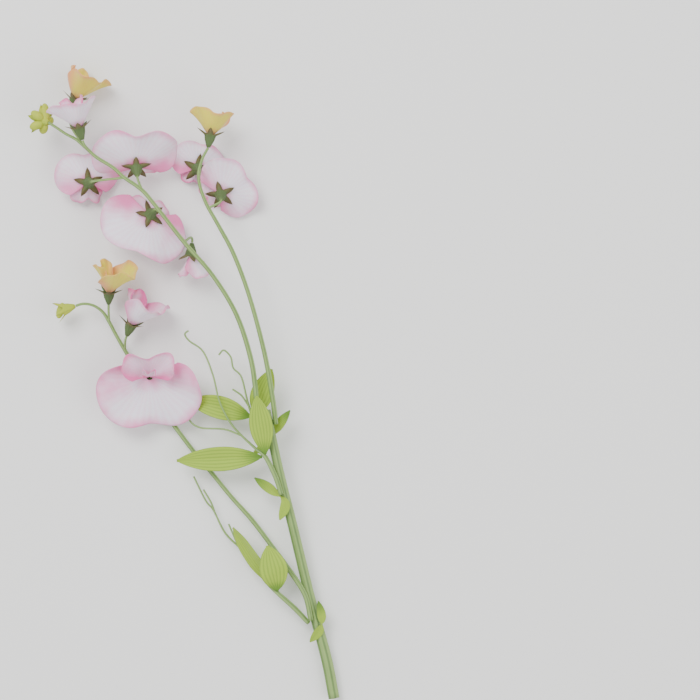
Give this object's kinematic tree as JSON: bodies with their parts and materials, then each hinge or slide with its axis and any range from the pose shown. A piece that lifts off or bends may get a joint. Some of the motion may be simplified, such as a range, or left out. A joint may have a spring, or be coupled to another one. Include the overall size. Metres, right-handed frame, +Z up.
{
  "type": "sweet pea flower stem",
  "caption": "Cut sweet pea stem lying down, with pink and white flowers, half-open blooms and buds on thin stalks, lime green leaflets and curling tendrils.",
  "frame": {"origin": "bottom centre of the stem's box, on the surface that it lies on", "axes": "+Y from the cut end to the flowers, +X to the right seen from above, +Z up from the surface"},
  "size_m": [0.1696, 0.3472, 0.0471],
  "materials": {
    "stem": "matte ridged plastic",
    "leaf": "printed woven leaf",
    "calyx": "matte moulded plastic",
    "petal_pink": "thin dyed fabric",
    "petal_blush": "thin dyed fabric",
    "petal_yellow": "thin dyed fabric"
  },
  "bodies": {
    "root": {"flower_stalk_inner": "stem", "flower_stalk_lower": "stem", "flower_stalk_upper": "stem", "inner_flower_1_calyx": "calyx", "inner_flower_1_keel": "petal_blush", "inner_flower_1_standard": "petal_pink", "inner_flower_1_wings": "petal_blush", "inner_flower_2_calyx": "calyx", "inner_flower_2_keel": "petal_blush", "inner_flower_2_standard": "petal_pink", "inner_flower_2_wings": "petal_blush", "inner_half_open_calyx": "calyx", "inner_half_open_standard": "petal_yellow", "inner_half_open_wings": "petal_yellow", "leaf_stalk_lower": "stem", "leaf_stalk_middle": "stem", "leaf_stalk_upper": "stem", "leaflet_lower_a": "leaf", "leaflet_lower_b": "leaf", "leaflet_middle_a": "leaf", "leaflet_middle_b": "leaf", "leaflet_upper_a": "leaf", "leaflet_upper_b": "leaf", "lower_bud": "calyx", "lower_flower_calyx": "calyx", "lower_flower_keel": "petal_blush", "lower_flower_standard": "petal_pink", "lower_flower_wings": "petal_blush", "lower_half_open_1_calyx": "calyx", "lower_half_open_1_standard": "petal_yellow", "lower_half_open_1_wings": "petal_yellow", "lower_half_open_2_calyx": "calyx", "lower_half_open_2_standard": "petal_pink", "lower_half_open_2_wings": "petal_blush", "main_stem": "stem", "stipules_lower": "leaf", "stipules_middle": "leaf", "stipules_upper": "leaf", "upper_bud": "calyx", "upper_flower_1_calyx": "calyx", "upper_flower_1_keel": "petal_blush", "upper_flower_1_standard": "petal_pink", "upper_flower_1_wings": "petal_blush", "upper_flower_2_calyx": "calyx", "upper_flower_2_keel": "petal_blush", "upper_flower_2_standard": "petal_pink", "upper_flower_2_wings": "petal_blush", "upper_flower_3_calyx": "calyx", "upper_flower_3_keel": "petal_blush", "upper_flower_3_standard": "petal_pink", "upper_flower_3_wings": "petal_blush", "upper_half_open_1_calyx": "calyx", "upper_half_open_1_standard": "petal_yellow", "upper_half_open_1_wings": "petal_yellow", "upper_half_open_2_calyx": "calyx", "upper_half_open_2_standard": "petal_pink", "upper_half_open_2_wings": "petal_blush", "upper_half_open_3_calyx": "calyx", "upper_half_open_3_standard": "petal_pink", "upper_half_open_3_wings": "petal_blush"}
  },
  "joints": []
}
